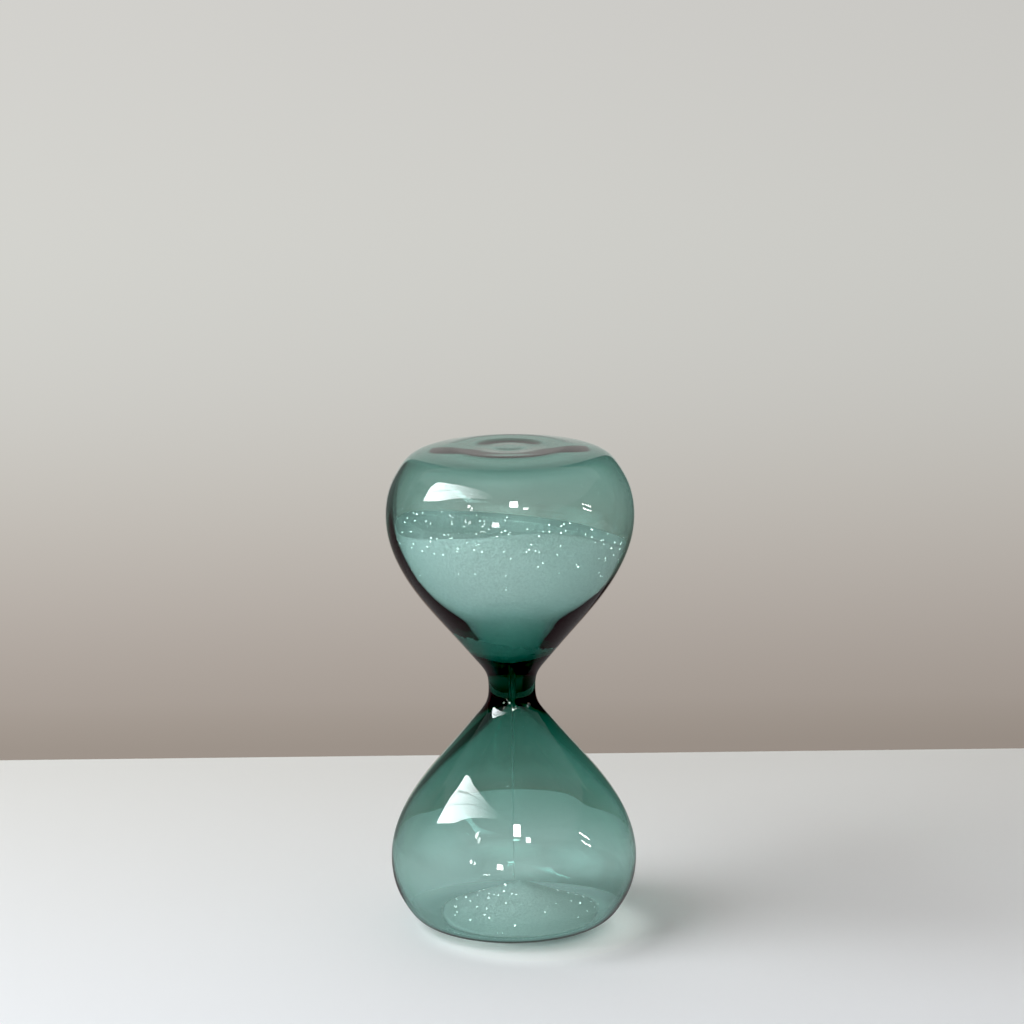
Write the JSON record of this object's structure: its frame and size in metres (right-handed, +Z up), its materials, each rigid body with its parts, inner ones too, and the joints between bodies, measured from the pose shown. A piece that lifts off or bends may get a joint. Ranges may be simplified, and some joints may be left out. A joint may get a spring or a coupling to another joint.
{
  "type": "hourglass",
  "caption": "Free-standing frameless hourglass of tinted blown glass: rounded bulbs joined at a narrow waist, with fine glittering sand running from the upper bulb to a heap below.",
  "frame": {"origin": "centre of the foot, on the surface that the hourglass stands on", "axes": "+Z up along the axis through both bulbs and the waist; -Y towards the viewer; +X to the viewer's right"},
  "size_m": [0.0704, 0.0704, 0.14],
  "materials": {
    "bulb_glass": "clear sea-green glass, fire polished",
    "waist_glass": "the same glass where it is thick, so nearly black green",
    "seal_glass": "clear sea-green glass, flame fused",
    "sand": "fine white sand with glittering grains",
    "falling_sand": "fine white sand in motion"
  },
  "bodies": {
    "glass": {"upper_bulb": "bulb_glass", "lower_bulb": "bulb_glass", "neck": "waist_glass", "fill_seal": "seal_glass", "throat_sand": "falling_sand", "sand_stream": "falling_sand"},
    "upper_charge": {"upper_sand": "sand"},
    "lower_charge": {"lower_sand": "sand"}
  },
  "joints": [
    {"name": "upper_sand_shift", "type": "slide", "parent": "glass", "child": "upper_charge", "axis": [0, 0, 1], "range_m": [0, 0.0055]},
    {"name": "lower_sand_shift", "type": "slide", "parent": "glass", "child": "lower_charge", "axis": [0, 0, 1], "range_m": [0, 0.038], "deforming": ["sand_stream"]}
  ]
}
